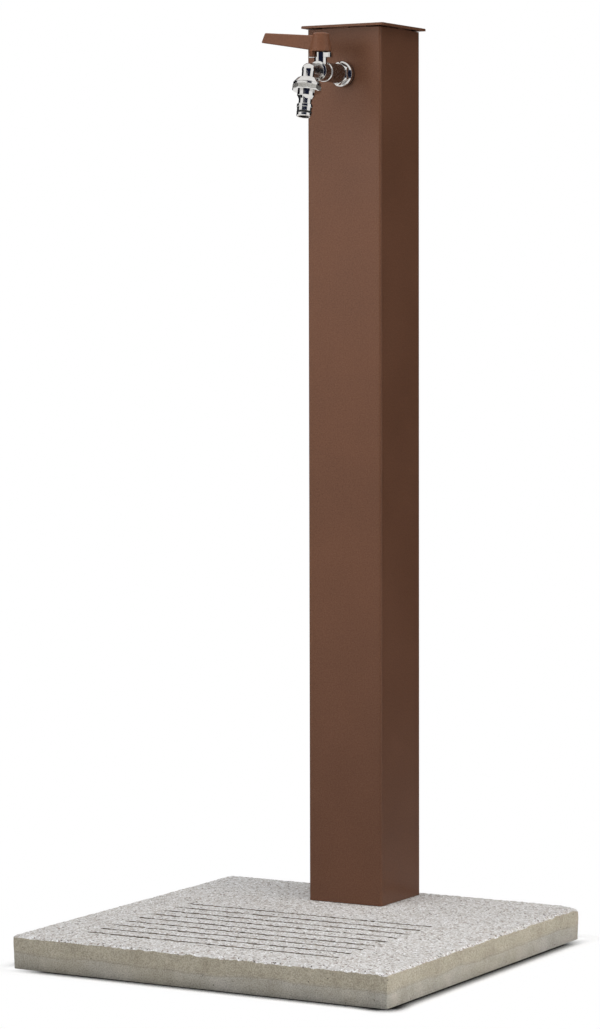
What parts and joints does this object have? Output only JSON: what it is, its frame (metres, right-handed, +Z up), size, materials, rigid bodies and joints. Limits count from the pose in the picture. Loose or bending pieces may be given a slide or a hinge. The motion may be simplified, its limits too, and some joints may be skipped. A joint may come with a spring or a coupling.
{
  "type": "garden tap fountain",
  "caption": "Garden tap fountain: square painted-steel column on a washed-gravel slab with drain slots, with a chromed lever ball tap and hose spigot.",
  "frame": {"origin": "middle of the slab's underside", "axes": "+Z up along the column, -Y the way the tap faces, +X to the right of someone who faces the tap"},
  "size_m": [0.5, 0.5, 1.1194],
  "materials": {
    "washed_gravel_concrete": "washed fine gravel top, cast sides",
    "powder_coated_steel": "fine-textured rust-brown powder coat",
    "painted_zinc_alloy": "smooth satin rust-brown paint",
    "chromed_brass": "bright chrome plate",
    "satin_chromed_brass": "satin chrome plate on the flats",
    "plain_brass": "machined",
    "copper_pipe": "drawn copper",
    "zinc_plated_steel": "bright zinc plate",
    "black_rubber": "moulded",
    "seat_plastic": "turned"
  },
  "bodies": {
    "fountain": {"base_slab": "washed_gravel_concrete", "foot_plate": "zinc_plated_steel", "foot_bolts": "zinc_plated_steel", "foot_washers": "zinc_plated_steel", "foot_nuts": "zinc_plated_steel", "column_tube": "powder_coated_steel", "column_cap": "powder_coated_steel", "tap_gasket": "black_rubber", "tap_inlet_body": "chromed_brass", "tap_lock_washer": "zinc_plated_steel", "tap_back_nut": "plain_brass", "valve_body": "chromed_brass", "seat_ring_inlet": "seat_plastic", "seat_ring_outlet": "seat_plastic", "outlet_gasket": "black_rubber", "union_nut": "satin_chromed_brass", "hose_spigot": "chromed_brass", "spigot_o_ring": "black_rubber", "upper_elbow": "plain_brass", "riser_pipe": "copper_pipe", "pipe_nuts": "plain_brass", "pipe_olives": "copper_pipe", "lower_elbow": "plain_brass", "inlet_fitting": "plain_brass", "inlet_gasket": "black_rubber", "inlet_lock_washer": "zinc_plated_steel", "inlet_back_nut": "plain_brass"},
    "handle": {"lever": "painted_zinc_alloy", "lever_screw": "zinc_plated_steel", "stem": "plain_brass", "stem_o_rings": "black_rubber", "ball": "chromed_brass"}
  },
  "joints": [
    {"name": "lever_turn", "type": "hinge", "parent": "fountain", "child": "handle", "pos_m": [-0.014, 0.0741, 1.059], "axis": [0, 0, 1], "range_deg": [0, 90]}
  ]
}
